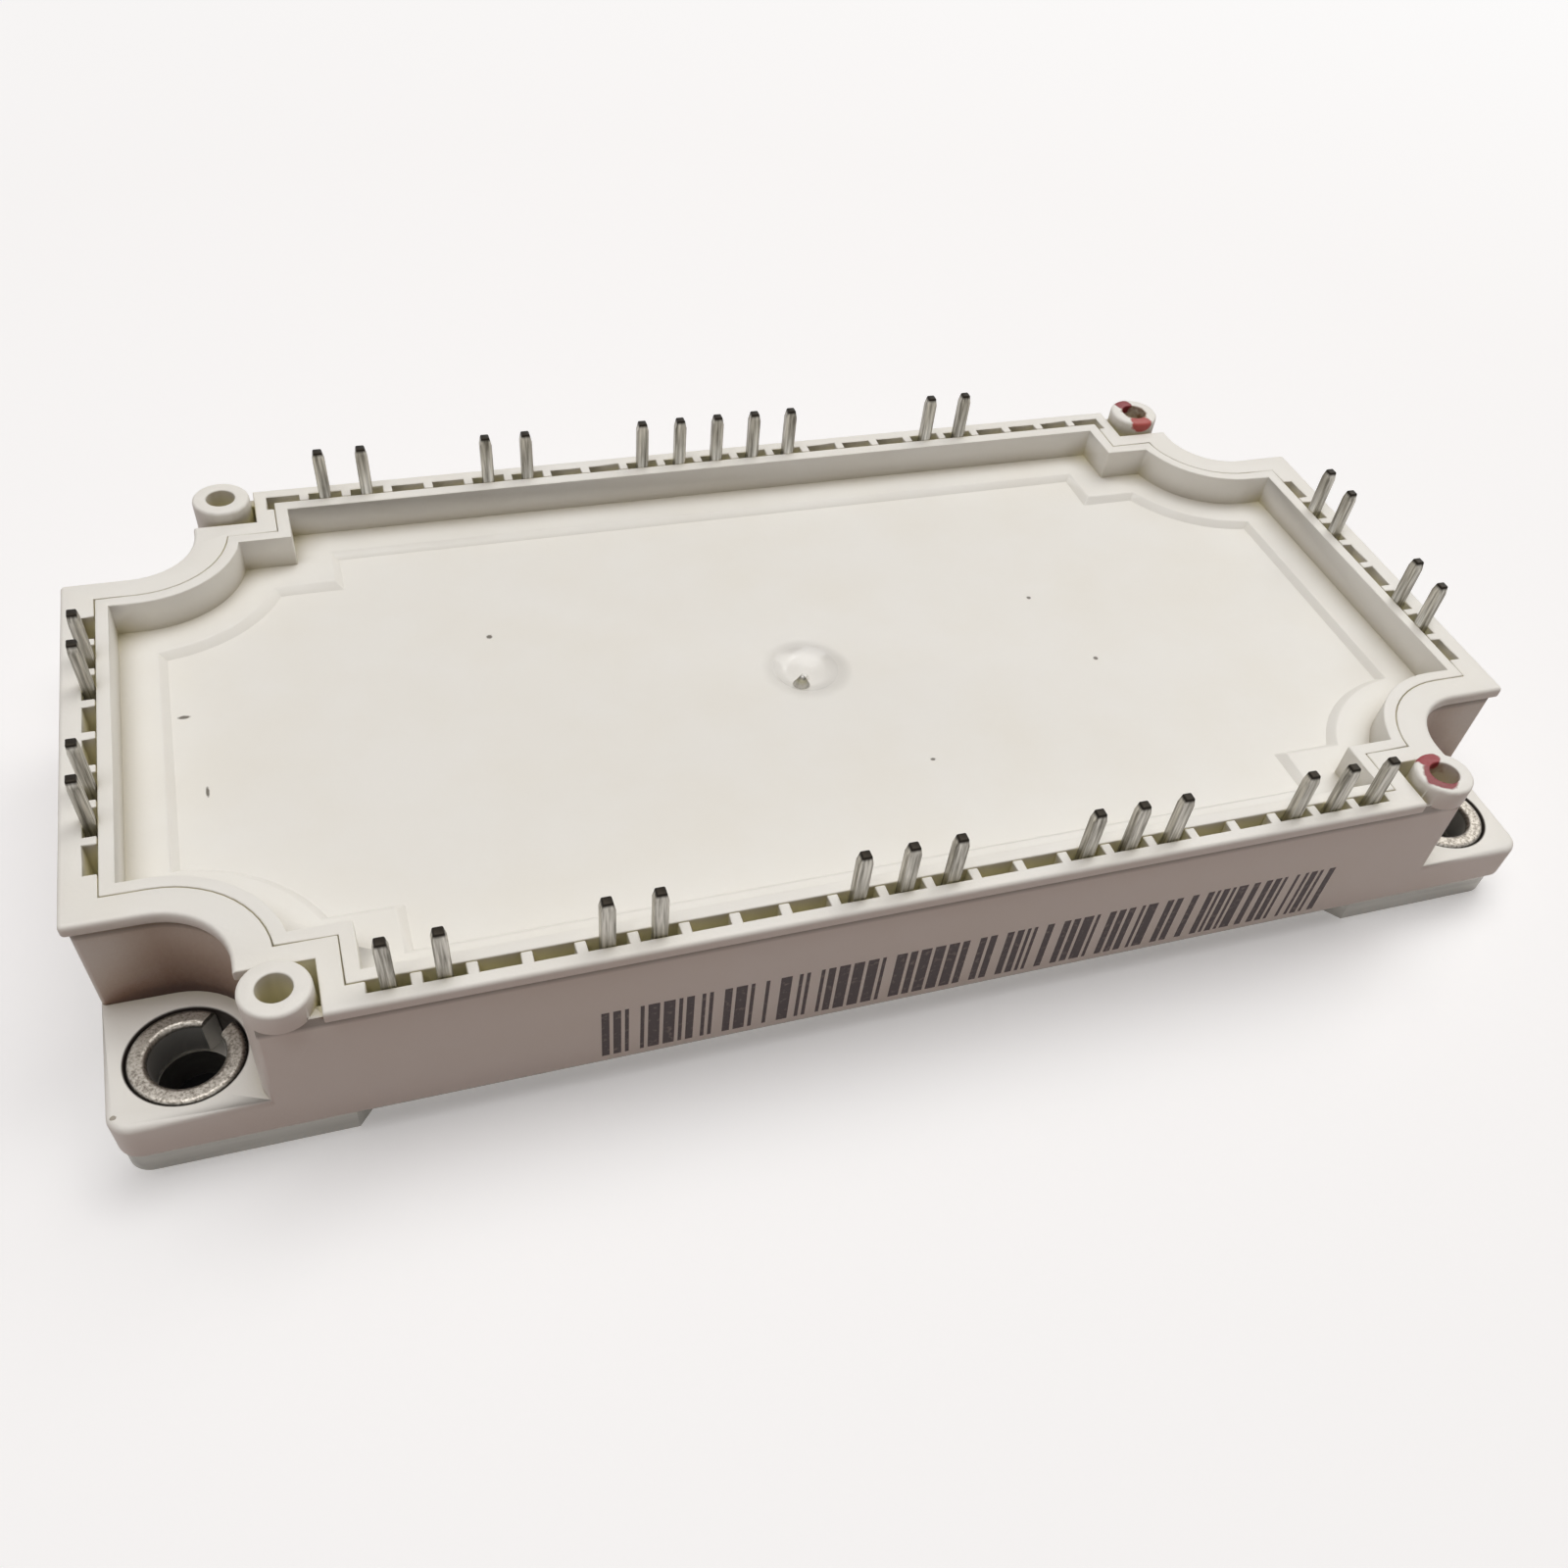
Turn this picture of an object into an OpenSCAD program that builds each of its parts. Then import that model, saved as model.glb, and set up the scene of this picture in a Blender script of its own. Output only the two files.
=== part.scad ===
// Power transistor module: a moulded frame on a metal baseplate, closed by a tray-shaped lid,
// with flat terminals standing in a comb round the rim.
// X runs along the long side, Y across it and Z up from the mounting plane.

/* [Package] */
// Length over the lip of the frame
package_l = 122; // [120:0.5:140]
// Width over the lip of the frame
package_w = 62; // [60:0.5:80]
// Height of the frame's top face above the mounting plane
frame_top = 16; // [15:0.5:22]

/* [Frame lip and walls] */
// Height of the lip that runs round the top of the frame
lip_h = 1; // [0.6:0.1:2]
// How far the lip stands out over the wall below it
lip_over = 0.4; // [0.2:0.1:0.6]
// Band of frame between each end and the lid
end_band = 2.7; // [2.5:0.1:3.5]
// Band of frame between each long side and the lid
row_band = 2.2; // [2:0.1:3]
// Radius on the upright corners beside the notches
lip_corner_r = 0.4; // [0.2:0.1:0.6]

/* [Corner notches and flanges] */
// Distance from each mounting hole's axis to the end and to the long side
hole_inset = 6; // [5.8:0.1:7]
// Radius of the notch round the mounting hole
notch_r = 5.5; // [5.2:0.1:6]
// Distance from the hole's axis to the notch's straight side by the boss
notch_side = 5.05; // [4.9:0.05:5.3]
// Radius of the frame's inner edge and of the lid round the notch
corner_arc_r = 7.9; // [7.6:0.1:8.3]
// Height of the flange above the baseplate
flange_h = 3.5; // [3:0.1:5]
// Corner radius of the flange
flange_r = 1.8; // [1:0.1:3]

/* [Mounting sleeves] */
// Outer diameter of the rolled sleeve
sleeve_d = 8.4; // [8:0.1:8.8]
// Bore of the sleeve and of the baseplate below it
sleeve_bore = 5.5; // [5:0.1:6]
// Gap where the rolled sleeve is split
sleeve_split = 1.8; // [0.8:0.1:2]
// Direction in which the split faces, from the length towards the middle of the module
sleeve_split_angle = 47; // [20:1:70]
// Clearance round the sleeve
sleeve_clear = 0.1; // [0.05:0.01:0.2]
// Rounding of the sleeve's edges
sleeve_edge = 0.4; // [0.1:0.05:0.5]

/* [Screw bosses] */
// Distance from a boss's axis to the end of the package
boss_inset_x = 13.75; // [13.5:0.05:14]
// Distance from a boss's axis to the long side of the package
boss_inset_y = 2.25; // [2:0.05:2.5]
// Outer diameter of a boss
boss_d = 5; // [4.6:0.1:5.4]
// Outer diameter of a boss where it meets its flange
boss_foot_d = 5.6; // [5:0.1:6]
// Diameter of the blind screw hole
boss_hole_d = 2.5; // [2:0.1:3]
// Depth of the blind screw hole
boss_hole_depth = 8; // [6:0.5:11]
// Height of a boss above the frame's top face
boss_rise = 1; // [0.5:0.1:2]
// Gap between a boss and the pocket that it stands in
boss_gap = 0.25; // [0.15:0.05:0.4]
// Depth of the pocket below the frame's top face
pocket_depth = 5; // [3:0.5:7]
// Wall between the pocket and the lid
pocket_wall = 1.7; // [1.4:0.1:2]
// Thickness of the web that ties the boss to the long wall
web_t = 1; // [0.8:0.1:1.5]
// How far the web's top lies below the frame's top face
web_drop = 0.7; // [0.5:0.1:2]

/* [Terminal comb] */
// Distance from one slot to the next
pitch = 3.81; // [3.5:0.01:3.82]
// Length of a slot along its row
slot_l = 2.95; // [2:0.05:3.1]
// Width of a slot across its row
slot_w = 1; // [1:0.05:1.3]
// Least wall between the last slot of a row and the corner next to it
slot_wall = 1.1; // [0.8:0.05:1.6]
// Height of the inner ledge that the terminals stand on
ledge_z = 8; // [7:0.5:9]
// Width of that ledge along the long sides
ledge_row_w = 8; // [7:0.5:10]
// Width of that ledge along the ends
ledge_end_w = 5.5; // [5:0.5:7]
// Width of the shelf that the lid sits on at the corners
seat_w = 1; // [0.6:0.1:1.4]

/* [Terminals] */
// Width of a terminal along its row
pin_w = 1.1; // [0.8:0.05:1.4]
// Thickness of a terminal
pin_t = 0.9; // [0.6:0.05:0.95]
// Height of the terminals above the frame's top face
pin_rise = 4.5; // [3:0.5:8]
// Height of the tapered tip
tip_h = 0.8; // [0.4:0.1:1.5]
// Width that is left at the top of the tip
tip_w = 0.75; // [0.3:0.05:0.85]
// Length of the foot of a terminal, from the inner face of the comb
foot_l = 4.4; // [3:0.1:4.6]

/* [Lid] */
// Clearance between the lid and the frame
lid_clear = 0.05; // [0.02:0.01:0.1]
// Width of the lid's rim
rim_w = 1.15; // [1:0.05:1.5]
// Depth from the rim to the margin of the tray
tray_depth = 3; // [2:0.1:3.2]
// Thickness of the lid
lid_t = 1.5; // [1:0.1:1.8]
// Width of the flat margin round the tray
margin_w = 3; // [2:0.1:5]
// Drop from the margin to the floor of the tray
step_drop = 0.6; // [0.3:0.1:0.8]
// Width of the slope of that drop
step_slope = 0.7; // [0.4:0.1:1.5]
// How much wider the step lies on the underside of the lid
step_under = 0.6; // [0.3:0.1:1]
// Diameter of the dimple round the moulding gate
gate_d = 6; // [4:0.5:8]
// Depth of the dimple
gate_depth = 0.35; // [0.2:0.05:0.5]
// Place of the gate across the lid
gate_y = -0.5; // [-5:0.5:5]
// Base diameter of the gate's stub
gate_stub_d = 1.3; // [0.8:0.1:2]
// Height of the gate's stub
gate_stub_h = 0.3; // [0.2:0.05:0.5]

/* [Baseplate] */
// Thickness of the baseplate
plate_t = 3; // [2.5:0.1:4]
// Distance from the baseplate's ends to the ends of the package
plate_inset_x = 0.4; // [0.4:0.1:2]
// Distance from the baseplate's long sides to the long sides of the package
plate_inset_y = 1.1; // [0.6:0.1:2]
// Corner radius of the baseplate
plate_r = 1.8; // [1.4:0.1:2.5]
// How far the plate's waist lies inside the package outline along the long sides
waist_inset = 2.4; // [2:0.1:3]
// Half length of the waist
waist_half_l = 43.1; // [40:0.1:45]
// Length of the slanted ends of the waist
waist_slant = 1.9; // [1:0.1:3]
// Width of the adhesive bead between frame and baseplate
bead_w = 1.2; // [0.8:0.1:1.6]
// Height of the groove that holds the adhesive bead
bead_h = 0.5; // [0.3:0.1:1]
// Distance from the frame's inner edge to the bead
bead_inset = 0.6; // [0.4:0.1:0.8]

/* [Circuit] */
// Number of ceramic substrates side by side
substrates = 3; // [2:1:4]
// Gap between two substrates
substrate_gap = 1.5; // [1:0.1:3]
// Clearance between the substrates and the frame
substrate_clear = 0.3; // [0.2:0.1:1]
// Thickness of the ceramic
ceramic_t = 0.6; // [0.4:0.05:1]
// Thickness of each copper layer
copper_t = 0.3; // [0.2:0.05:0.5]
// Thickness of the solder under a substrate
solder_t = 0.2; // [0.1:0.05:0.3]
// Bare edge of ceramic round the copper
ceramic_margin = 1; // [0.5:0.1:1.5]
// Width of the etched grooves between copper fields
etch_w = 1; // [0.6:0.1:1.5]
// Side of a transistor chip
transistor_side = 7.5; // [5:0.1:7.8]
// Side of a freewheeling diode chip
diode_side = 6; // [4:0.1:7]
// Side of a rectifier diode chip
rectifier_side = 5; // [4:0.1:5.6]
// Thickness of the chips
chip_t = 0.3; // [0.2:0.05:0.5]
// Diameter of the bond wires
wire_d = 0.3; // [0.2:0.05:0.4]
// Distance between the two wires on a chip
wire_spacing = 2; // [1:0.1:3]
// Rise of a chip's wires over their chord
chip_wire_rise = 1; // [0.6:0.1:1.4]
// Rise of a terminal's wire over its chord
foot_wire_rise = 1.6; // [1.4:0.1:2]
// Distance from a terminal's wire to the edge of the copper and to the end of the foot
wire_land = 0.4; // [0.3:0.1:0.6]
// Length of the temperature sensor
sensor_l = 3.2; // [2:0.1:4]
// Width of the temperature sensor
sensor_w = 1.6; // [1:0.1:2]
// Height of the temperature sensor
sensor_h = 0.9; // [0.5:0.1:1.2]
// Height of the gel's surface above the terminal ledge
gel_rise = 2.1; // [1.9:0.1:2.2]

/* [Hidden] */
$fn = 64;
// Slots that hold a terminal, in steps of the pitch from the middle of the row
front_steps = [-10.5, -9.5, -6.5, -5.5, -1.5, -0.5, 0.5, 3.5, 4.5, 5.5, 8.5, 9.5, 10.5];
back_steps = [-10, -9, -6, -5, -2, -1, 0, 1, 2, 6, 7];
end_steps = [-2.5, -1.5, 1.5, 2.5];

// Longer than any part of the module, for cuts that run out of it
far = package_l;
// Surplus of a cut where it leaves a surface
over = 1;
half_l = package_l / 2;
half_w = package_w / 2;
wall_x = half_l - lip_over;
wall_y = half_w - lip_over;
flange_top = plate_t + flange_h;
lip_z = frame_top - lip_h;
hole_x = half_l - hole_inset;
hole_y = half_w - hole_inset;
notch_x = hole_x - notch_side;
boss_x = half_l - boss_inset_x;
boss_y = half_w - boss_inset_y;
pocket_x = boss_x - boss_d / 2 - boss_gap;
pocket_y = boss_y - boss_d / 2 - boss_gap;
pocket_z = frame_top - pocket_depth;
// Inner face of the comb, and the corner of the lid's outline beside a boss
open_x = half_l - end_band;
open_y = half_w - row_band;
zig_x = pocket_x - pocket_wall;
zig_y = pocket_y - pocket_wall;
pin_top = frame_top + pin_rise;
foot_top = ledge_z + pin_t;
margin_z = frame_top - tray_depth;
tray_z = margin_z - step_drop;
lid_under = margin_z - lid_t;
// Where the slope of the step starts, from the lid's outline
step_top = rim_w + margin_w;
// Opening of the frame over the baseplate
well_x = open_x - ledge_end_w;
well_y = open_y - ledge_row_w;
flat_y = hole_y - corner_arc_r - seat_w;
// Layers of the circuit
solder_z = plate_t;
bottom_z = solder_z + solder_t;
ceramic_z = bottom_z + copper_t;
top_z = ceramic_z + ceramic_t;
chip_z = top_z + copper_t;
chip_top = chip_z + chip_t;
bay_end = well_x - substrate_clear - bead_inset;
bay_l = (2 * bay_end - (substrates - 1) * substrate_gap) / substrates;
bay_w = 2 * (min(flat_y, well_y) - substrate_clear);
bay_step = bay_l + substrate_gap;
copper_l = bay_l - 2 * ceramic_margin;
copper_w = bay_w - 2 * ceramic_margin;
field_w = (copper_w - etch_w) / 2;
gel_top = ledge_z + gel_rise;

// Slots that fit between the corners: an even row has a rib in its middle, an odd row a slot
function even_row(room) = 2 * floor((room - slot_l / 2) / pitch + 0.5);
function odd_row(room) = 2 * floor((room - slot_l / 2) / pitch) + 1;
front_slots = even_row(pocket_x - slot_wall);
back_slots = odd_row(pocket_x - slot_wall);
end_slots = even_row(hole_y - corner_arc_r - slot_wall);

// Terminals whose slot is there
function fitted(steps, slots) = [for (i = [0:len(steps) - 1]) if (abs(steps[i]) < slots / 2) i];
front_pins = fitted(front_steps, front_slots);
back_pins = fitted(back_steps, back_slots);
end_pins = fitted(end_steps, end_slots);

corners = [["front_left", 0, 1], ["front_right", 1, 1], ["back_left", 0, 0], ["back_right", 1, 0]];
bays = [for (i = [0:substrates - 1]) i + 1];
function names(stem, list) = [for (i = list) str(stem, i)];
function pin_names(stem, pins) = [for (i = pins) str(stem, i + 1)];

// Row positions
function bay_x(bay) = (bay - (substrates - 1) / 2) * bay_step;
// The first bay carries the rectifier and the brake in four columns, the others an inverter in three
function columns(bay) = bay == 0 ? 4 : 3;
function field_l(bay) = (copper_l - (columns(bay) - 1) * etch_w) / columns(bay);
function field_x(bay, column) =
    bay_x(bay) + (column - (columns(bay) - 1) / 2) * (field_l(bay) + etch_w);
function field_y(row) = (row - 0.5) * (field_w + etch_w);
function last_column(bay) = columns(bay) - 1;

// Repeats a shape in all four corners
module at_corners() {
    for (mx = [0, 1])
        for (my = [0, 1])
            mirror([mx, 0, 0])
                mirror([0, my, 0])
                    children();
}

// Prism along Y or along X with the profile given as [distance, height] points
module along_y(profile, length = 2 * far, centre = true) {
    rotate([90, 0, 0])
        linear_extrude(length, center = centre)
            polygon(profile);
}

module along_x(profile, length = 2 * far, centre = true) {
    rotate([90, 0, 90])
        linear_extrude(length, center = centre)
            polygon(profile);
}

// Block whose half sizes change from [x0, y0] at the height z0 to [x1, y1] at z1
module slab(z0, z1, x0, y0, x1, y1) {
    intersection() {
        along_y([[-x0, z0], [x0, z0], [x1, z1], [-x1, z1]]);
        along_x([[-y0, z0], [y0, z0], [y1, z1], [-y1, z1]]);
    }
}

// Quarter turn of a cone frustum, in the quarter that faces the middle of the module
module quarter(x, y, z0, z1, r0, r1) {
    translate([x, y, 0])
        rotate([0, 0, 180])
            rotate_extrude(angle = 90)
                polygon([[0, z0], [r0, z0], [r1, z1], [0, z1]]);
}

// What the notch and the boss take from one corner of the inner outline, grown by g0 to g1
module corner_keep(z0, z1, g0, g1) {
    r0 = corner_arc_r + g0;
    r1 = corner_arc_r + g1;
    quarter(hole_x, hole_y, z0, z1, r0, r1);
    translate([hole_x, 0, 0])
        along_x([[hole_y - r0, z0], [far, z0], [far, z1], [hole_y - r1, z1]], far, false);
    intersection() {
        along_y([[zig_x - g0, z0], [far, z0], [far, z1], [zig_x - g1, z1]]);
        along_x([[zig_y - g0, z0], [far, z0], [far, z1], [zig_y - g1, z1]]);
    }
}

// The inner outline as a solid, inset by g0 at the bottom and g1 at the top
module inner_outline(z0, z1, g0, g1) {
    slope = (g1 - g0) / (z1 - z0) * over;
    difference() {
        slab(z0, z1, open_x - g0, open_y - g0, open_x - g1, open_y - g1);
        at_corners()
            corner_keep(z0 - over, z1 + over, g0 - slope, g1 + slope);
    }
}

// Opening of given half sizes with the corners kept, grown by g
module well(z0, z1, x, y, g) {
    difference() {
        slab(z0, z1, x, y, x, y);
        at_corners()
            corner_keep(z0 - over, z1 + over, g, g);
    }
}

// Notch round one mounting hole, cut back by g
module notch(z0, z1, g) {
    r = notch_r + g;
    cx = notch_x + notch_r;
    quarter(cx, hole_y, z0, z1, r, r);
    translate([cx, hole_y - r, z0])
        cube([far, far, z1 - z0]);
    translate([cx - r, hole_y, z0])
        cube([far, far, z1 - z0]);
}

// Rounds an upright corner at [x, y] with the radius r
module corner_round(x, y, r, z0, z1) {
    difference() {
        translate([x - r, y - r, z0 - over])
            cube([r + over, r + over, z1 - z0 + 2 * over]);
        translate([x - r, y - r, z0 - 2 * over])
            cylinder(r = r, h = z1 - z0 + 4 * over);
    }
}

// One storey of the notched outer shape of the frame
module storey(z0, z1, x, y, g) {
    difference() {
        slab(z0, z1, x, y, x, y);
        at_corners() {
            notch(z0 - over, z1 + over, g);
            corner_round(x, hole_y - notch_r - g, lip_corner_r, z0, z1);
        }
    }
}

// Row of slots in the comb; each slot opens towards the middle of the module
module slot_row(slots, face) {
    for (i = [0:slots - 1])
        translate([(i - (slots - 1) / 2) * pitch - slot_l / 2, face - over, ledge_z])
            cube([slot_l, slot_w + over, far]);
}

// Boss with a full collar at the top and a tapered column whose front is flush with the side wall
module boss_column() {
    translate([boss_x, boss_y, lip_z])
        cylinder(d = boss_d, h = frame_top + boss_rise - lip_z);
    intersection() {
        translate([boss_x, boss_y, flange_top])
            cylinder(d1 = boss_foot_d, d2 = boss_d, h = lip_z - flange_top);
        translate([boss_x - boss_foot_d, 0, 0])
            cube([2 * boss_foot_d, wall_y, far]);
    }
    translate([pocket_x, wall_y - web_t, plate_t])
        cube([boss_x - pocket_x, web_t, frame_top - web_drop - plate_t]);
}

// Pocket round a boss, with the corner outside the boss taken off down to the flange
module boss_pocket() {
    translate([pocket_x, pocket_y, pocket_z])
        cube(far);
    translate([boss_x, boss_y, flange_top])
        cube(far);
}

module flange() {
    at_corners()
        intersection() {
            translate([pocket_x, hole_y - corner_arc_r, plate_t])
                cube([wall_x - pocket_x, wall_y - hole_y + corner_arc_r, flange_h]);
            union() {
                translate([0, 0, plate_t])
                    cube([far, wall_y - flange_r, flange_h]);
                translate([0, 0, plate_t])
                    cube([wall_x - flange_r, far, flange_h]);
                translate([wall_x - flange_r, wall_y - flange_r, plate_t])
                    cylinder(r = flange_r, h = flange_h);
            }
        }
}

module bead_ring(z0, z1) {
    out = bead_inset + bead_w;
    difference() {
        well(z0, z1, well_x + out, well_y + out, seat_w - out);
        well(z0 - over, z1 + over, well_x + bead_inset, well_y + bead_inset, seat_w - bead_inset);
    }
}

module frame() {
    color("#EFEDE6")
        difference() {
            union() {
                difference() {
                    union() {
                        storey(lip_z, frame_top, half_l, half_w, 0);
                        storey(plate_t, lip_z, wall_x, wall_y, lip_over);
                    }
                    at_corners()
                        boss_pocket();
                }
                flange();
                at_corners()
                    boss_column();
            }
            well(plate_t - over, ledge_z, well_x, well_y, seat_w);
            well(ledge_z, lid_under, open_x, open_y, seat_w);
            well(lid_under, frame_top + over, open_x, open_y, 0);
            mirror([0, 1, 0])
                slot_row(front_slots, open_y);
            slot_row(back_slots, open_y);
            rotate([0, 0, 90])
                slot_row(end_slots, open_x);
            rotate([0, 0, -90])
                slot_row(end_slots, open_x);
            bead_ring(plate_t - over, plate_t + bead_h);
            at_corners() {
                translate([hole_x, hole_y, plate_t - over])
                    cylinder(d = sleeve_d + 2 * sleeve_clear, h = flange_h + 2 * over);
                translate([boss_x, boss_y, frame_top + boss_rise - boss_hole_depth])
                    cylinder(d = boss_hole_d, h = boss_hole_depth + over);
            }
        }
}

// The tray's step below the height z, where its inset is g, carried on above z at the same slope
module sloped_step(z, g) {
    inner_outline(z - step_drop, z + step_drop, g + step_slope, g - step_slope);
}

module lid() {
    color("#F1EFE8")
        difference() {
            union() {
                inner_outline(lid_under, frame_top, lid_clear, lid_clear);
                sloped_step(lid_under, step_top - step_under);
            }
            inner_outline(margin_z, frame_top + over, rim_w, rim_w);
            sloped_step(margin_z, step_top);
            gate_dimple();
        }
}

// Shallow spherical dimple with the stub of the moulding gate left standing in it
module gate_dimple() {
    ball_r = (gate_d * gate_d / 4 + gate_depth * gate_depth) / (2 * gate_depth);
    translate([0, gate_y, tray_z])
        difference() {
            translate([0, 0, ball_r - gate_depth])
                sphere(r = ball_r);
            translate([0, 0, -gate_depth - over])
                cylinder(d1 = gate_stub_d * 2, d2 = gate_stub_d / 3, h = gate_stub_h + over);
        }
}

module baseplate() {
    x = half_l - plate_inset_x;
    y = half_w - plate_inset_y;
    waist_y = half_w - waist_inset;
    color("#B9B4AC")
        difference() {
            translate([-x, -y, 0])
                cube([2 * x, 2 * y, plate_t]);
            at_corners() {
                corner_round(x, y, plate_r, 0, plate_t);
                translate([hole_x, hole_y, -over])
                    cylinder(d = sleeve_bore, h = plate_t + 2 * over);
            }
            for (my = [0, 1])
                mirror([0, my, 0])
                    translate([0, 0, -over])
                        linear_extrude(plate_t + 2 * over)
                            polygon([
                                [-waist_half_l, waist_y],
                                [waist_half_l, waist_y],
                                [waist_half_l + waist_slant, y + over],
                                [-waist_half_l - waist_slant, y + over]
                            ]);
        }
}

// Wall of a sleeve as [radius, height], with its four edges rounded
module sleeve_wall() {
    wall = (sleeve_d - sleeve_bore) / 2;
    translate([sleeve_bore / 2, 0]) {
        translate([sleeve_edge, 0])
            square([wall - 2 * sleeve_edge, flange_h]);
        translate([0, sleeve_edge])
            square([wall, flange_h - 2 * sleeve_edge]);
        for (x = [sleeve_edge, wall - sleeve_edge])
            for (y = [sleeve_edge, flange_h - sleeve_edge])
                translate([x, y])
                    circle(r = sleeve_edge);
    }
}

// Rolled sleeve of one corner, split on the side that faces the middle of the module
module sleeve(mx, my) {
    color("#A9A49A")
        mirror([mx, 0, 0])
            mirror([0, my, 0])
                translate([-hole_x, hole_y, plate_t])
                    difference() {
                        rotate_extrude()
                            sleeve_wall();
                        rotate([0, 0, -sleeve_split_angle])
                            translate([0, -sleeve_split / 2, -over])
                                cube([sleeve_d, sleeve_split, flange_h + 2 * over]);
                    }
}

// Terminal with its blade upright in the slot and its foot reaching inwards along the ledge
module terminal(at, face) {
    mid = face + slot_w / 2;
    color("#8F8B7C")
        translate([at, 0, 0]) {
            intersection() {
                translate([-pin_w / 2, mid - pin_t / 2, ledge_z])
                    cube([pin_w, pin_t, pin_top - ledge_z]);
                along_y([
                    [-pin_w / 2, ledge_z],
                    [pin_w / 2, ledge_z],
                    [pin_w / 2, pin_top - tip_h],
                    [tip_w / 2, pin_top],
                    [-tip_w / 2, pin_top],
                    [-pin_w / 2, pin_top - tip_h]
                ]);
                along_x([
                    [mid - pin_t / 2, ledge_z],
                    [mid + pin_t / 2, ledge_z],
                    [mid + pin_t / 2, pin_top - tip_h],
                    [mid + tip_w / 2, pin_top],
                    [mid - tip_w / 2, pin_top],
                    [mid - pin_t / 2, pin_top - tip_h]
                ]);
            }
            translate([-pin_w / 2, face - foot_l, ledge_z])
                cube([pin_w, foot_l + slot_w / 2, pin_t]);
        }
}

module terminal_front(i) {
    mirror([0, 1, 0])
        terminal(front_steps[i] * pitch, open_y);
}

module terminal_back(i) {
    terminal(back_steps[i] * pitch, open_y);
}

module terminal_left(i) {
    rotate([0, 0, 90])
        terminal(end_steps[i] * pitch, open_x);
}

module terminal_right(i) {
    rotate([0, 0, -90])
        terminal(end_steps[i] * pitch, open_x);
}

// Plate of one bay, centred on the bay
module bay_plate(bay, l, w, z, t) {
    translate([bay_x(bay) - l / 2, -w / 2, z])
        cube([l, w, t]);
}

module solder(bay) {
    color("#A7A9AB")
        bay_plate(bay, copper_l, copper_w, solder_z, solder_t);
}

module bottom_copper(bay) {
    color("#B87346")
        bay_plate(bay, copper_l, copper_w, bottom_z, copper_t);
}

module ceramic(bay) {
    color("#F4F2EC")
        bay_plate(bay, bay_l, bay_w, ceramic_z, ceramic_t);
}

module top_copper(bay) {
    color("#C07C4E")
        for (column = [0:last_column(bay)])
            for (row = [0, 1])
                translate([
                    field_x(bay, column) - field_l(bay) / 2,
                    field_y(row) - field_w / 2,
                    top_z
                ])
                    cube([field_l(bay), field_w, copper_t]);
}

// Chip centred on its copper field
module chip(bay, column, row, side) {
    size = min(side, field_l(bay));
    translate([field_x(bay, column) - size / 2, field_y(row) - side / 2, chip_z])
        cube([size, side, chip_t]);
}

// The brake transistor takes the last column of the first bay, the inverter all of the other bays
module transistor_chips() {
    color("#5F666B") {
        chip(0, last_column(0), 1, rectifier_side);
        for (bay = [1:substrates - 1])
            for (column = [0:last_column(bay)])
                chip(bay, column, 1, transistor_side);
    }
}

module freewheel_diodes() {
    color("#7A8084") {
        chip(0, last_column(0), 0, rectifier_side);
        for (bay = [1:substrates - 1])
            for (column = [0:last_column(bay)])
                chip(bay, column, 0, diode_side);
    }
}

module rectifier_diodes() {
    color("#6C7276")
        for (column = [0:last_column(0) - 1])
            for (row = [0, 1])
                chip(0, column, row, rectifier_side);
}

// The sensor stands on the ceramic, in the etched groove beside the last column
module temperature_sensor() {
    color("#3D3A36")
        translate([
            field_x(substrates - 1, last_column(substrates - 1)) + field_l(substrates - 1) / 2
                - sensor_l - etch_w,
            field_y(0) - field_w / 2,
            chip_z
        ])
            cube([sensor_l, sensor_w, sensor_h]);
}

// Arched wire in the YZ plane from [y0, z0] to [y1, z1]
module arch(x, y0, z0, y1, z1, rise) {
    chord = norm([y1 - y0, z1 - z0]);
    r = (chord * chord / 4 + rise * rise) / (2 * rise);
    half_angle = asin(chord / 2 / r);
    tilt = atan2(z1 - z0, y1 - y0);
    translate([x, (y0 + y1) / 2, (z0 + z1) / 2])
        rotate([tilt, 0, 0])
            translate([0, 0, rise - r])
                rotate([90, 0, 90])
                    rotate([0, 0, 90 - half_angle])
                        rotate_extrude(angle = 2 * half_angle)
                            translate([r, 0])
                                circle(d = wire_d);
}

// Two wires from the middle of each chip to the copper field across the groove
module chip_wires() {
    start_y = etch_w / 2 + wire_d;
    color("#C9CCCE")
        for (bay = [0:substrates - 1])
            for (column = [0:last_column(bay)])
                for (row = [0, 1])
                    for (side = [-0.5, 0.5])
                        mirror([0, 1 - row, 0])
                            arch(
                                field_x(bay, column) + (side + (row - 0.5) / 2) * wire_spacing,
                                -start_y, chip_z + wire_d / 2,
                                field_y(1), chip_top + wire_d / 2,
                                chip_wire_rise
                            );
}

// Wire from a terminal's foot down to the copper whose edge lies at the distance land
module foot_wire(at, face, land) {
    arch(
        at,
        land - wire_land, chip_z + wire_d / 2,
        face - foot_l + wire_land, foot_top + wire_d / 2,
        foot_wire_rise
    );
}

module row_wires() {
    land = copper_w / 2;
    color("#C9CCCE") {
        mirror([0, 1, 0])
            for (i = front_pins)
                foot_wire(front_steps[i] * pitch, open_y, land);
        for (i = back_pins)
            foot_wire(back_steps[i] * pitch, open_y, land);
    }
}

module end_wires() {
    land = bay_x(substrates - 1) + copper_l / 2;
    color("#C9CCCE")
        for (turn = [90, -90])
            rotate([0, 0, turn])
                for (i = end_pins)
                    foot_wire(end_steps[i] * pitch, open_x, land);
}

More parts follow.
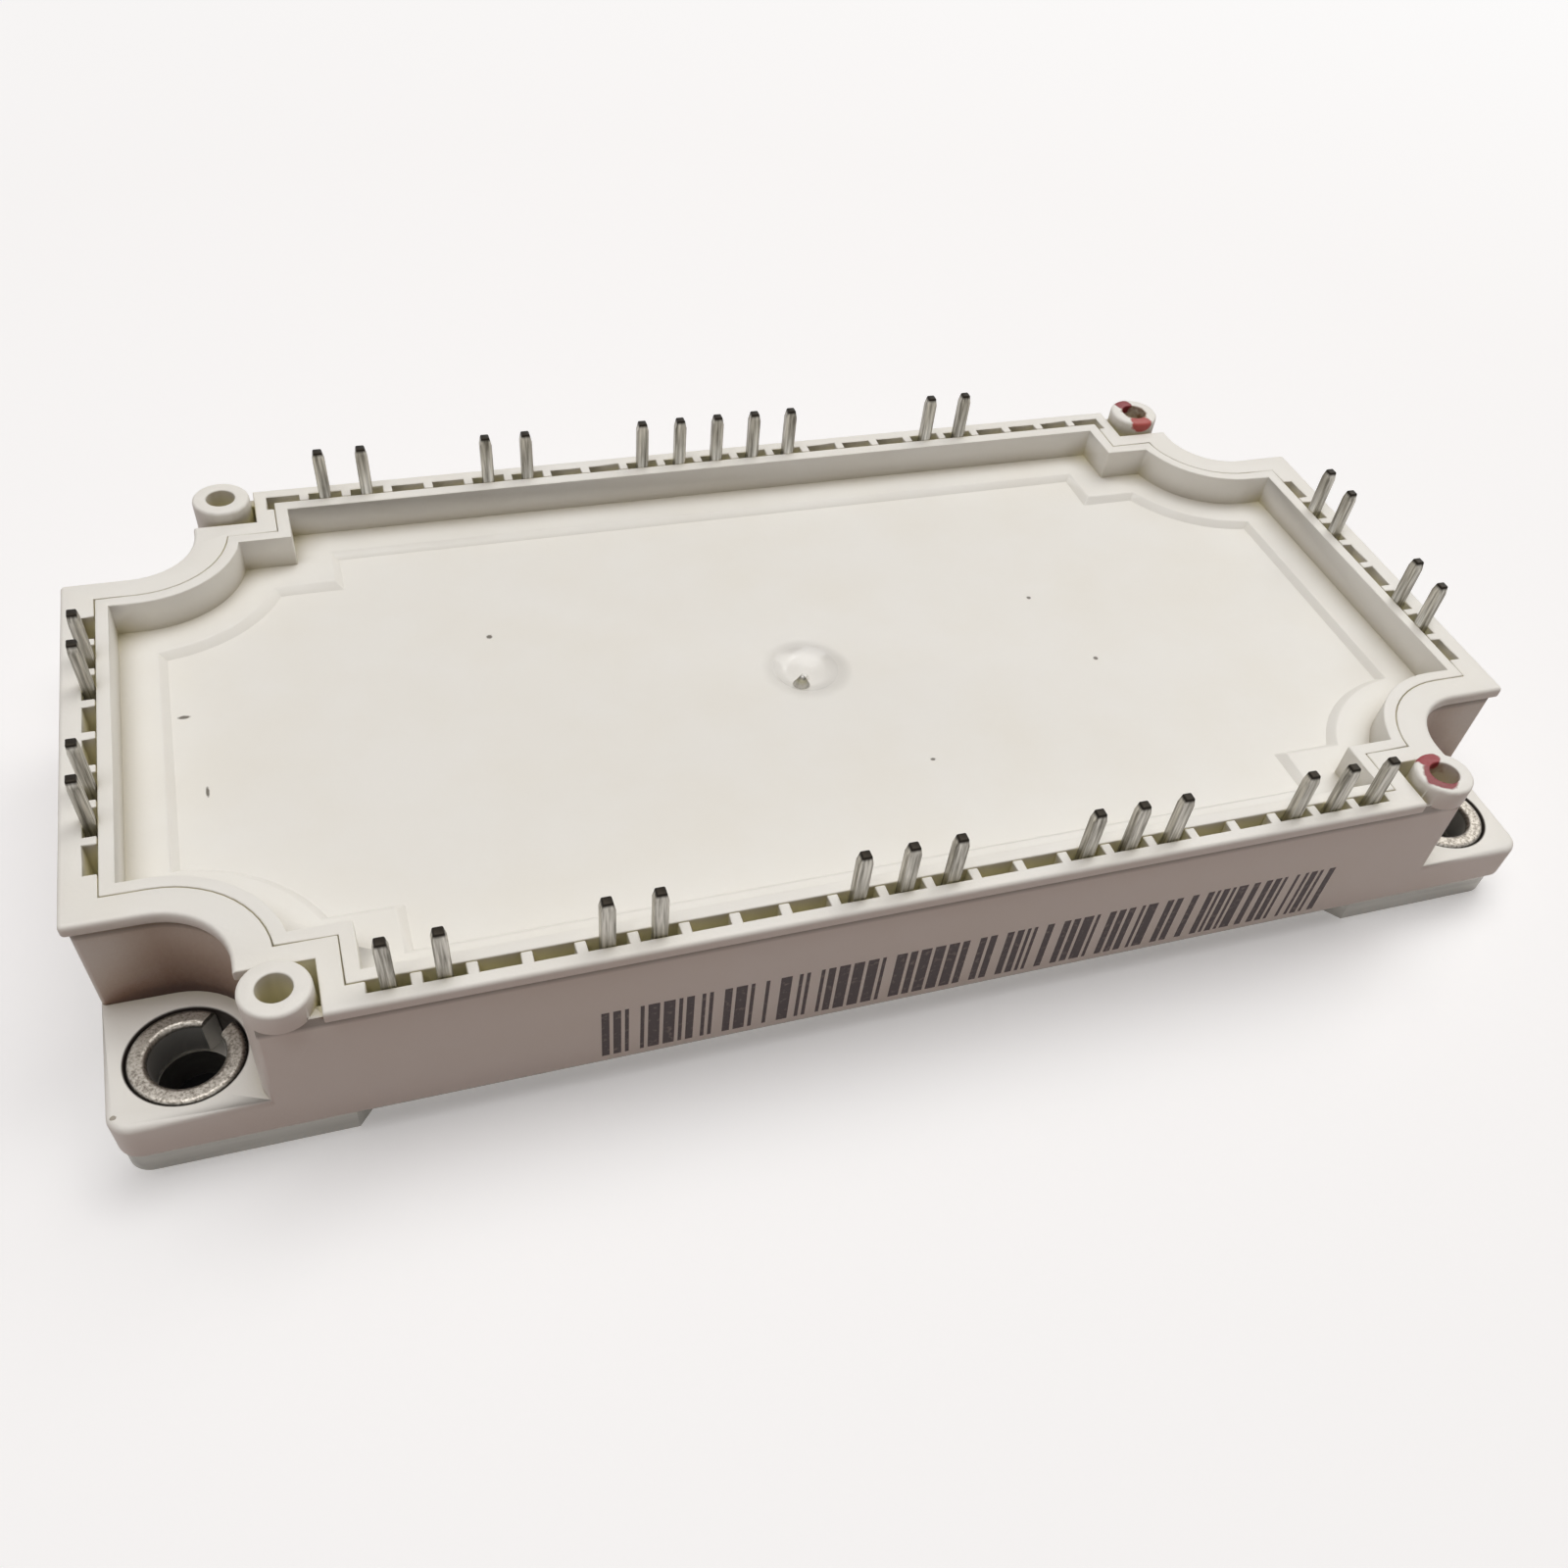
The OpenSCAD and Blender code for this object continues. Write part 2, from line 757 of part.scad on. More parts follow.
module adhesive_bead() {
    color("#D9D6CC")
        bead_ring(plate_t, plate_t + bead_h);
}

// Soft potting that fills the well and covers the circuit, the wires and the terminals' feet
module gel() {
    color("#E3E6E2", 0.5)
        difference() {
            union() {
                well(plate_t, ledge_z, well_x, well_y, seat_w);
                well(ledge_z, gel_top, open_x, open_y, seat_w);
            }
            for (bay = [0:substrates - 1]) {
                solder(bay);
                bottom_copper(bay);
                ceramic(bay);
                top_copper(bay);
            }
            transistor_chips();
            freewheel_diodes();
            rectifier_diodes();
            temperature_sensor();
            chip_wires();
            row_wires();
            end_wires();
            for (i = front_pins)
                terminal_front(i);
            for (i = back_pins)
                terminal_back(i);
            for (i = end_pins) {
                terminal_left(i);
                terminal_right(i);
            }
        }
}

frame();
lid();
baseplate();
adhesive_bead();
gel();
temperature_sensor();
for (c = corners)
    sleeve(c[1], c[2]);
for (i = front_pins)
    terminal_front(i);
for (i = back_pins)
    terminal_back(i);
for (i = end_pins) {
    terminal_left(i);
    terminal_right(i);
}
for (bay = [0:substrates - 1]) {
    ceramic(bay);
    bottom_copper(bay);
    top_copper(bay);
    solder(bay);
}
transistor_chips();
freewheel_diodes();
rectifier_diodes();
chip_wires();
row_wires();
end_wires();
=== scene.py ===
import math
import random

import bmesh
import bpy
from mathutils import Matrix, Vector


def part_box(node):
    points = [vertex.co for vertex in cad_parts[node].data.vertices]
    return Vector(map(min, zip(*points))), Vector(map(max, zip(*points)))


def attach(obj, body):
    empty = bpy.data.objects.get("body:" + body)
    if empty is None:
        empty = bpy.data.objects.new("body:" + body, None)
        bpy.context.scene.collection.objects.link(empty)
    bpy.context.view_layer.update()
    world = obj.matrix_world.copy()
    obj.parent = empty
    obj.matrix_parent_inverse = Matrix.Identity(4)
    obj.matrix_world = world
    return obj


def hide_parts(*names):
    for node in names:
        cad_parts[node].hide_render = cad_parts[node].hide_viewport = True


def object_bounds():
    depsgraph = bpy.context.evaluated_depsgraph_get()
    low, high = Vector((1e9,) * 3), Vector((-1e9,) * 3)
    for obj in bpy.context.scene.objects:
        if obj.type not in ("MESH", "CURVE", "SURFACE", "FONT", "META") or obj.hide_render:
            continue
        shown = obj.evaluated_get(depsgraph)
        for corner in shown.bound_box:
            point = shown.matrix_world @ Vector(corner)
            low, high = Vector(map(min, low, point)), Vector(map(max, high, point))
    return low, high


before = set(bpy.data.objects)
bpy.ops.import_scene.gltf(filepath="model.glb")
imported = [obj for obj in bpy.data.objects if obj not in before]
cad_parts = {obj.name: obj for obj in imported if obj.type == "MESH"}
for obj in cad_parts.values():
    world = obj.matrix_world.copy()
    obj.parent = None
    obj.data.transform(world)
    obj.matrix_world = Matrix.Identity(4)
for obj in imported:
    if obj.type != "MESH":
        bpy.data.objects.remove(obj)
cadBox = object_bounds()
print("frame loaded:", len(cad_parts), "nodes")

mm = 0.001
screwHoleAt = (55, 25)   # mm from the module's middle, mirrored to the four corners
lidFloor = 12.4          # mm above the mounting plane
frontWall = -30.6        # mm from the module's middle


# sRGB hex to linear, for the shader sockets
def linear(hexCode):
    levels = [int(hexCode[i:i + 2], 16) / 255 for i in (1, 3, 5)]
    return tuple(c / 12.92 if c <= 0.04045 else ((c + 0.055) / 1.055) ** 2.4 for c in levels) + (1.0,)


# Adds one node with its settings, its fixed values and its links
def addNode(tree, kind, settings=None, values=None, links=None):
    node = tree.nodes.new("ShaderNode" + kind)
    for name, value in (settings or {}).items():
        setattr(node, name, value)
    for key, value in (values or {}).items():
        node.inputs[key].default_value = value
    for key, socket in (links or {}).items():
        tree.links.new(socket, node.inputs[key])
    return node


# A new material with its shader and the object's own coordinates in metres
def startMaterial(name, **values):
    material = bpy.data.materials.new(name)
    material.use_nodes = True
    tree = material.node_tree
    tree.nodes.clear()
    shader = addNode(tree, "BsdfPrincipled", values=values)
    addNode(tree, "OutputMaterial", links={"Surface": shader.outputs["BSDF"]})
    place = addNode(tree, "TexCoord").outputs["Object"]
    return material, tree, shader, place


def mixColours(tree, factor, first, second, blend="MIX"):
    mix = addNode(tree, "Mix", {"data_type": "RGBA", "blend_type": blend})
    for key, value in ((0, factor), (6, first), (7, second)):
        if isinstance(value, bpy.types.NodeSocket):
            tree.links.new(value, mix.inputs[key])
        else:
            mix.inputs[key].default_value = value
    return mix.outputs[2]


# A grey as a colour socket takes it
def grey(level):
    return (level, level, level, 1)


# Noise with features of about the given size in millimetres
def grain(tree, place, size, detail=2.0, stretch=(1, 1, 1)):
    moved = addNode(tree, "Mapping", values={"Scale": stretch}, links={"Vector": place})
    return addNode(
        tree, "TexNoise",
        values={"Scale": 1 / (size * mm), "Detail": detail, "Roughness": 0.55},
        links={"Vector": moved.outputs["Vector"]},
    ).outputs["Fac"]


def remap(tree, value, low, high, newLow=0.0, newHigh=1.0, ease="LINEAR"):
    return addNode(
        tree, "MapRange", {"clamp": True, "interpolation_type": ease},
        {"From Min": low, "From Max": high, "To Min": newLow, "To Max": newHigh},
        {"Value": value},
    ).outputs["Result"]


# A colour that follows a value through the given stops of (value, sRGB hex)
def graded(tree, value, stops):
    node = addNode(tree, "ValToRGB", links={0: value})
    ramp = node.color_ramp
    while len(ramp.elements) < len(stops):
        ramp.elements.new(1.0)
    for element, (at, hexCode) in zip(ramp.elements, stops):
        element.position = at
        element.color = linear(hexCode)
    return node.outputs["Color"]


def roughen(tree, shader, height, depth, under=None):
    links = {"Height": height}
    if under is not None:
        links["Normal"] = under
    bump = addNode(tree, "Bump", values={"Strength": 1.0, "Distance": depth * mm}, links=links)
    tree.links.new(bump.outputs["Normal"], shader.inputs["Normal"])
    return bump.outputs["Normal"]


# 1 within a round spot, falling to 0 at its edge; the edge is uneven by the given share
def spotMask(tree, place, centre, radius, stretch=(1, 1, 1), uneven=0.0, soft=0.15, ease="LINEAR"):
    offset = addNode(
        tree, "Mapping",
        values={
            "Location": tuple(-c * s / (radius * mm) for c, s in zip(centre, stretch)),
            "Scale": tuple(s / (radius * mm) for s in stretch),
        },
        links={"Vector": place},
    )
    length = addNode(tree, "VectorMath", {"operation": "LENGTH"}, links={0: offset.outputs["Vector"]})
    reach = length.outputs["Value"]
    if uneven:
        ragged = addNode(tree, "Math", {"operation": "MULTIPLY_ADD"},
                         {1: 2 * uneven, 2: -uneven}, {0: grain(tree, place, radius * 0.8)})
        reach = addNode(tree, "Math", {"operation": "ADD"},
                        links={0: reach, 1: ragged.outputs["Value"]}).outputs["Value"]
    return remap(tree, reach, 1 - soft, 1 + soft, 1.0, 0.0, ease)


# The same place in all four quarters of the module, for what is mirrored to each corner
def quarterPlace(tree, place):
    return addNode(tree, "VectorMath", {"operation": "ABSOLUTE"}, links={0: place}).outputs["Vector"]


# A finished mesh as an object at the origin
def addPiece(mesh, name, *materials):
    data = bpy.data.meshes.new(name)
    mesh.to_mesh(data)
    mesh.free()
    for material in materials:
        data.materials.append(material)
    piece = bpy.data.objects.new(name, data)
    bpy.context.collection.objects.link(piece)
    return piece


# Camera and light

cameraPlace = {
    "location": (-38.06, -89.09, 91.97),   # mm from the module's middle
    "turn": (39.663, -4.966, -17.607),     # degrees
    "lens": 31.32,                         # mm on a 36 mm sensor
    "shift": (0.005, 0.091),
}


def placeCamera():
    data = bpy.data.cameras.new("camera")
    data.sensor_width = 36
    data.lens = cameraPlace["lens"]
    data.shift_x, data.shift_y = cameraPlace["shift"]
    data.clip_start, data.clip_end = 0.005, 20
    camera = bpy.data.objects.new("camera", data)
    camera.location = Vector(cameraPlace["location"]) * mm
    camera.rotation_euler = [math.radians(a) for a in cameraPlace["turn"]]
    bpy.context.collection.objects.link(camera)
    bpy.context.scene.camera = camera


lighting = {
    "keyPower": 3.9, "keySize": 0.75, "keyFrom": (0.8, 0.4, 0.95), "keyColour": "#FFFEFA",
    "topPower": 5.75, "topSize": 1.2, "topDeep": 0.55, "topFrom": (-0.06, 0.07, 0.88), "topColour": "#FFFFFF",
    "skyStrength": 0.10, "skyColour": "#FFE3DC",
    "floorColour": "#B4A09A", "floorSeen": 0.88, "floorGlow": 0.22,
    "floorHalf": 4,                     # m, half of the paper's side
    # painted shade: the hole radius and tone set a black patch on the paper under each screw hole
    "holeShadeRadius": 3, "holeShadeTone": 0.01,  # radius in mm, and how dark the bottom of a hole is
    "whiteFrom": 150, "whiteTo": 480,   # mm from the middle
}


def softbox(name, power, width, depth, origin, colour):
    data = bpy.data.lights.new(name, "AREA")
    data.shape = "RECTANGLE"
    data.size, data.size_y = width, depth
    data.energy = power
    data.color = linear(colour)[:3]
    lamp = bpy.data.objects.new(name, data)
    lamp.location = origin
    lamp.rotation_euler = (-Vector(origin)).to_track_quat("-Z", "Y").to_euler()
    bpy.context.collection.objects.link(lamp)


# 1 for what the camera sees straight, in a reflection or through glass
def seenRays(tree):
    path = addNode(tree, "LightPath")
    some = addNode(tree, "Math", {"operation": "MAXIMUM"},
                   links={0: path.outputs["Is Camera Ray"], 1: path.outputs["Is Glossy Ray"]})
    return addNode(tree, "Math", {"operation": "MAXIMUM"},
                   links={0: some.outputs["Value"], 1: path.outputs["Is Transmission Ray"]}).outputs["Value"]


def lightScene():
    softbox("keyLight", lighting["keyPower"], lighting["keySize"], lighting["keySize"],
            lighting["keyFrom"], lighting["keyColour"])
    softbox("topLight", lighting["topPower"], lighting["topSize"], lighting["topDeep"],
            lighting["topFrom"], lighting["topColour"])
    world = bpy.data.worlds.new("studio")
    bpy.context.scene.world = world
    world.use_nodes = True
    tree = world.node_tree
    tree.nodes.clear()
    sky = addNode(tree, "Background",
                  values={"Color": linear(lighting["skyColour"]), "Strength": lighting["skyStrength"]})
    white = addNode(tree, "Background", values={"Color": grey(1), "Strength": 1.0})
    both = addNode(tree, "MixShader", links={0: seenRays(tree), 1: sky.outputs[0], 2: white.outputs[0]})
    addNode(tree, "OutputWorld", links={"Surface": both.outputs[0]})
    bpy.context.scene.view_settings.view_transform = "Standard"


# 1 on the paper right under the four screw holes, where a black painted shade goes
def underHolesShade(tree, place):
    x, y = screwHoleAt
    return spotMask(tree, quarterPlace(tree, place), (x * mm, y * mm, 0), lighting["holeShadeRadius"], soft=0.05)


# Seamless paper: pale to the eye with the shadow kept and white further out, a plain tone to the
# light that it throws back, and a black painted shade on the paper under the screw holes
def layFloor(bottom):
    mesh = bmesh.new()
    bmesh.ops.create_grid(mesh, x_segments=1, y_segments=1, size=lighting["floorHalf"])
    bmesh.ops.translate(mesh, vec=(0, 0, bottom), verts=mesh.verts)
    material = bpy.data.materials.new("seamlessPaper")
    material.use_nodes = True
    tree = material.node_tree
    tree.nodes.clear()
    place = addNode(tree, "TexCoord").outputs["Object"]
    thrown = addNode(tree, "BsdfDiffuse", values={"Color": linear(lighting["floorColour"])})
    seen = addNode(tree, "BsdfDiffuse", values={"Color": grey(lighting["floorSeen"])})
    glow = addNode(tree, "Emission", values={"Color": grey(1), "Strength": lighting["floorGlow"]})
    bare = addNode(tree, "AddShader", links={0: seen.outputs[0], 1: glow.outputs[0]})
    paintedHoleShade = addNode(tree, "BsdfDiffuse", values={"Color": grey(lighting["holeShadeTone"])})
    lit = addNode(tree, "MixShader",
                  links={0: underHolesShade(tree, place), 1: bare.outputs[0], 2: paintedHoleShade.outputs[0]})
    away = addNode(tree, "VectorMath", {"operation": "LENGTH"}, links={0: place}).outputs["Value"]
    far = remap(tree, away, lighting["whiteFrom"] * mm, lighting["whiteTo"] * mm)
    white = addNode(tree, "Emission", values={"Color": grey(1), "Strength": 1})
    paper = addNode(tree, "MixShader", links={0: far, 1: lit.outputs[0], 2: white.outputs[0]})
    both = addNode(tree, "MixShader", links={0: seenRays(tree), 1: thrown.outputs[0], 2: paper.outputs[0]})
    addNode(tree, "OutputMaterial", links={"Surface": both.outputs[0]})
    addPiece(mesh, "paperFloor", material)


# Finishes

housing = {
    # the corner and slot tones are painted shade for corners and narrow slots
    "plastic": "#F1EFE8", "cloud": "#EFECE3", "corner": "#BFB8AA", "slotShade": "#DDD6AE",
    "speck": "#6E675C",
    # the lip shade and the hollow shades are painted shade on the outer walls
    "lipShade": "#4E3D28", "lipShadeShare": 0.62,
    "lipShadeFrom": 14.0, "lipShadeTo": 14.45,             # mm above the mounting plane
    "hollowShades": [                                      # share of open sky, and the tone it gives
        (0.47, "#45231A"), (0.57, "#8E6A56"), (0.7, "#C8B1A5"), (0.8, "#E0D2C8"), (0.92, "#FFFFFF"),
    ],
    "shadeReach": 3.2, "hollowReach": 12,                  # mm
    "grainSize": 0.35, "grainDepth": 0.012, "cloudSize": 9,
    "roughest": 0.54, "smoothest": 0.42,
    "edge": 0.13, "edgeSteps": 3,                          # usual edge radius in mm
}


# Moulded PBT polyester: an opaque, slightly warm white with a fine matt skin. Its colour carries painted
# shade: grey in corners and olive in narrow slots, by how closed in a place is, standing in for the light
# that the slightly translucent resin traps there.
def polyester(name):
    material, tree, shader, place = startMaterial(name, IOR=1.55)
    clouds = grain(tree, place, housing["cloudSize"], 3)
    cloudy = remap(tree, clouds, 0.35, 0.7)
    skin = mixColours(tree, cloudy, linear(housing["plastic"]), linear(housing["cloud"]))
    # painted shade: the skin goes grey in corners and olive in narrow slots
    near = addNode(tree, "AmbientOcclusion", {"samples": 6}, {"Distance": housing["shadeReach"] * mm})
    cornerShading = remap(tree, near.outputs["AO"], 0.4, 0.85, 1.0, 0.0)
    slotShading = remap(tree, near.outputs["AO"], 0.1, 0.5, 1.0, 0.0)
    skin = mixColours(tree, cornerShading, skin, linear(housing["corner"]))
    skin = mixColours(tree, slotShading, skin, linear(housing["slotShade"]))
    fine = grain(tree, place, housing["grainSize"], 2)
    roughness = remap(tree, fine, 0.3, 0.7, housing["smoothest"], housing["roughest"])
    tree.links.new(roughness, shader.inputs["Roughness"])
    normal = roughen(tree, shader, fine, housing["grainDepth"])
    return material, tree, shader, place, skin, roughness, normal


lacquerDabsAndReflection = [
    # red sealing lacquer on the two right-hand bosses, a brown painted reflection of it down their holes,
    # and one speck of dirt on a flange: centre in mm, radius in mm, stretch, colour
    # brown painted reflection of the lacquer down the hole
    ((46.9, -28.85, 16.4), 1.45, (1, 1, 0.5), "#9A7A58"),
    ((46.55, -29.1, 17.0), 1.5, (1, 1, 1), "#7E1A20"),
    ((46.8, -27.0, 17.0), 1.15, (1, 1.5, 1), "#8E1F26"),
    # brown painted reflection of the lacquer down the hole
    ((47.2, 28.6, 16.4), 1.4, (1, 1, 0.5), "#8A6A4C"),
    ((46.65, 30.3, 17.0), 0.95, (1, 1, 1), "#7E1A20"),
    ((47.2, 26.75, 17.0), 1.1, (0.9, 1, 1), "#A8423A"),
    ((-60.0, -29.2, 6.5), 0.24, (1, 1.3, 1), "#A39B8D"),
]


# painted shade on the frame's bore behind a split sleeve
boreShade = {"reach": 4.38, "dark": "#2B2420"}   # mm round a screw hole's axis, and the tone there


# The frame's resin, with the red lacquer on it and a brown painted reflection of the lacquer in the boss
# holes; on its bore behind the split sleeves a dark painted shade
def frameFinish():
    material, tree, shader, place, skin, *rest = polyester("mouldedFrame")
    for centre, radius, stretch, colour in lacquerDabsAndReflection:
        spot = spotMask(tree, place, [c * mm for c in centre], radius, stretch, 0.3, 0.08)
        skin = mixColours(tree, spot, skin, linear(colour))
    # painted shade: dark on the frame's bore behind the split sleeves
    x, y = screwHoleAt
    behindSleeveShade = spotMask(tree, quarterPlace(tree, place), (x * mm, y * mm, 0), boreShade["reach"],
                      (1, 1, 0), soft=0.015)
    skin = mixColours(tree, behindSleeveShade, skin, linear(boreShade["dark"]))
    tree.links.new(skin, shader.inputs["Base Color"])
    return material


# The same resin on the outer walls, with painted shade in its colour: a brown painted shadow right under
# the lip, and painted shade in the hollows round the sleeves, where light comes only from resin and steel
def wallPaintedShade():
    material, tree, shader, place, skin, *rest = polyester("mouldedWallShaded")
    # painted shade in the hollows, darker where less open sky is seen
    wide = addNode(tree, "AmbientOcclusion", {"samples": 16, "only_local": True},
                   {"Distance": housing["hollowReach"] * mm})
    skin = mixColours(tree, 1.0, skin, graded(tree, wide.outputs["AO"], housing["hollowShades"]), "MULTIPLY")
    # painted shadow right under the lip, set by height
    height = addNode(tree, "SeparateXYZ", links={0: place}).outputs["Z"]
    shade = remap(tree, height, housing["lipShadeFrom"] * mm, housing["lipShadeTo"] * mm,
                  0.0, housing["lipShadeShare"])
    skin = mixColours(tree, shade, skin, linear(housing["lipShade"]))
    tree.links.new(skin, shader.inputs["Base Color"])
    return material


lidSpecks = [
    # x, y in mm, radius in mm, stretch along the speck
    (-52.45, 4.8, 0.32, (0.7, 1.6, 1)),
    (-51.1, -4.4, 0.28, (2.2, 0.5, 1)),
    (-26.4, 10.2, 0.26, (1, 1, 1)),
    (27.8, -3.9, 0.22, (1, 1, 1)),
    (7.4, -13.4, 0.22, (1, 1.4, 1)),
    (25.3, 5.9, 0.2, (1, 1, 1)),
]


gateLook = {
    "centre": (0.4, 0.3), "radius": 3.0, "depth": 0.8, "shine": 0.16,                             # dimple, mm
    "stub": (-0.6, -1.5), "foot": 1.6, "tip": 0.4, "rise": 0.95, "sunk": 0.3, "stubEdge": 0.08,   # stub, mm
}


# The lid's resin. Round the gate it froze against a polished insert, so the dimple is glossy.
def lidFinish(floorHeight):
    material, tree, shader, place, skin, roughness, normal = polyester("mouldedLid")
    x, y = gateLook["centre"]
    middle = (x * mm, y * mm, floorHeight)
    dimple = spotMask(tree, place, middle, gateLook["radius"], soft=0.06)
    bowl = spotMask(tree, place, middle, gateLook["radius"], soft=0.45, ease="SMOOTHSTEP")
    polished = mixColours(tree, dimple, roughness, grey(gateLook["shine"]))
    tree.links.new(polished, shader.inputs["Roughness"])
    lowered = addNode(tree, "Math", {"operation": "SUBTRACT"}, {0: 1.0}, {1: bowl}).outputs["Value"]
    roughen(tree, shader, lowered, gateLook["depth"], under=normal)
    for x, y, radius, stretch in lidSpecks:
        spot = spotMask(tree, place, (x * mm, y * mm, floorHeight), radius, stretch, 0.3, 0.25)
        skin = mixColours(tree, spot, skin, linear(housing["speck"]))
    tree.links.new(skin, shader.inputs["Base Color"])
    return material


# The stub that is left where the gate was broken off
def leaveStub(floorHeight, material):
    mesh = bmesh.new()
    bmesh.ops.create_cone(mesh, cap_ends=True, segments=32, radius1=gateLook["foot"] / 2 * mm,
                          radius2=gateLook["tip"] / 2 * mm, depth=gateLook["rise"] * mm)
    bmesh.ops.bevel(mesh, geom=mesh.edges[:], affect="EDGES", offset=gateLook["stubEdge"] * mm,
                    segments=2, profile=0.5, material=-1)
    x, y = gateLook["stub"]
    height = floorHeight + (gateLook["rise"] / 2 - gateLook["sunk"]) * mm
    bmesh.ops.translate(mesh, verts=mesh.verts, vec=(x * mm, y * mm, height))
    stub = addPiece(mesh, "gateStub", material)
    stub.data.shade_smooth()
    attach(stub, "root")


terminalLook = {
    "tin": "#CFCBC2", "tinDark": "#6C685F", "cut": "#2A2621",
    "cutFrom": 0.4, "cutTo": 0.15,          # mm below the tip
    "lineSize": 0.25, "edge": 0.11,         # mm
}


# Tinned copper strip, stamped: a dull grey-green metal with drawn lines up the blade; the sheared
# tip is bare and has gone dark.
def tinnedStrip(top):
    material, tree, shader, place = startMaterial("tinnedStrip", Metallic=1.0)
    lines = grain(tree, place, terminalLook["lineSize"], 3, (1, 1, 0.06))
    bright = remap(tree, lines, 0.3, 0.7)
    tone = mixColours(tree, bright, linear(terminalLook["tinDark"]), linear(terminalLook["tin"]))
    height = addNode(tree, "SeparateXYZ", links={0: place}).outputs["Z"]
    tip = remap(tree, height, top - terminalLook["cutFrom"] * mm, top - terminalLook["cutTo"] * mm)
    tone = mixColours(tree, tip, tone, linear(terminalLook["cut"]))
    tree.links.new(tone, shader.inputs["Base Color"])
    tree.links.new(remap(tree, lines, 0.3, 0.7, 0.5, 0.32), shader.inputs["Roughness"])
    roughen(tree, shader, lines, 0.01)
    return material


sleeveLook = {
    "steel": "#A8A299", "pit": "#6A635B", "bore": "#E2DFDA", "boreShine": 0.42,
    "pitSize": 0.2,                         # mm
    "boreFrom": 0.55, "boreTo": 0.35,       # mm below the end face
}


# Steel strip, rolled and tumbled: bright grey and finely pitted on its end face, smoother down
# the bore, which the strip's rolled side forms
def tumbledSteel(top):
    material, tree, shader, place = startMaterial("tumbledSteel", Metallic=1.0)
    pits = grain(tree, place, sleeveLook["pitSize"], 3)
    bright = remap(tree, pits, 0.32, 0.6)
    tone = mixColours(tree, bright, linear(sleeveLook["pit"]), linear(sleeveLook["steel"]))
    height = addNode(tree, "SeparateXYZ", links={0: place}).outputs["Z"]
    down = remap(tree, height, top - sleeveLook["boreFrom"] * mm, top - sleeveLook["boreTo"] * mm, 1.0, 0.0)
    tone = mixColours(tree, down, tone, linear(sleeveLook["bore"]))
    tree.links.new(tone, shader.inputs["Base Color"])
    rough = mixColours(tree, down, remap(tree, pits, 0.3, 0.7, 0.5, 0.34), grey(sleeveLook["boreShine"]))
    tree.links.new(rough, shader.inputs["Roughness"])
    roughen(tree, shader, pits, 0.012)
    return material


plateLook = {"nickel": "#AFACA6", "nickelDark": "#9D9A94", "markSize": 1.2}


# Nickel-plated copper plate: dull grey with long faint rolling marks
def nickelPlate():
    material, tree, shader, place = startMaterial("nickelPlate", Metallic=1.0)
    marks = grain(tree, place, plateLook["markSize"], 4, (0.08, 1, 1))
    bright = remap(tree, marks, 0.3, 0.7)
    tone = mixColours(tree, bright, linear(plateLook["nickelDark"]), linear(plateLook["nickel"]))
    tree.links.new(tone, shader.inputs["Base Color"])
    tree.links.new(remap(tree, marks, 0.3, 0.7, 0.48, 0.34), shader.inputs["Roughness"])
    roughen(tree, shader, marks, 0.004)
    return material


# A plain finish for a sealed inner piece: two tones of one substance mixed by a grain
def innerFinish(name, light, dark, size, depth=0.01, **values):
    material, tree, shader, place = startMaterial(name, **values)
    spots = grain(tree, place, size, 3)
    tone = mixColours(tree, remap(tree, spots, 0.35, 0.65), linear(dark), linear(light))
    tree.links.new(tone, shader.inputs["Base Color"])
    roughen(tree, shader, spots, depth)
    return material


def dress(material, *nodes):
    for name in nodes:
        piece = bpy.data.objects[name]
        piece.data.materials.clear()
        piece.data.materials.append(material)


roundedEdges = [
    # outer top edges of the frame that are rounded more: height of the edge, lowest place of the
    # upright face under it, radius, all in mm
    (16, 14.9, 0.35), (6.5, 2.9, 0.55), (17, 14.9, 0.3),
]
lipHeight = 15                  # mm, underside of the lip
sleeveReach = 4.5               # mm round a screw hole's axis
bossColumn = (47.25, 29, 3.3)   # mm from the module's middle, and a reach round it
sharpest = math.radians(28)     # an edge that turns by more than this is a real edge


# Radius in mm of an edge between two faces of a moulding, with the usual one given
def edgeRadius(edge, usual):
    side, level = sorted(edge.link_faces, key=lambda face: face.normal.z)
    middle = (edge.verts[0].co + edge.verts[1].co) / 2 / mm
    x, y = screwHoleAt
    inSleeveHole = math.hypot(abs(middle.x) - x, abs(middle.y) - y) < sleeveReach
    if level.normal.z < 0.95 or abs(side.normal.z) > 0.3 or inSleeveHole:
        return usual
    foot = min(v.co.z for v in side.verts) / mm
    for height, lowest, radius in roundedEdges:
        if abs(middle.z - height) < 0.01 and lowest < foot < middle.z - 0.2:
            return radius
    return usual


# Whether a face is an upright one that ends under the lip, away from the bosses
def underLip(face):
    reach = max(v.co.z for v in face.verts) / mm - lipHeight
    if abs(face.normal.z) > 0.3 or not -0.01 < reach < 0.4:
        return False
    middle = face.calc_center_median() / mm
    x, y, near = bossColumn
    return math.hypot(abs(middle.x) - x, abs(middle.y) - y) > near


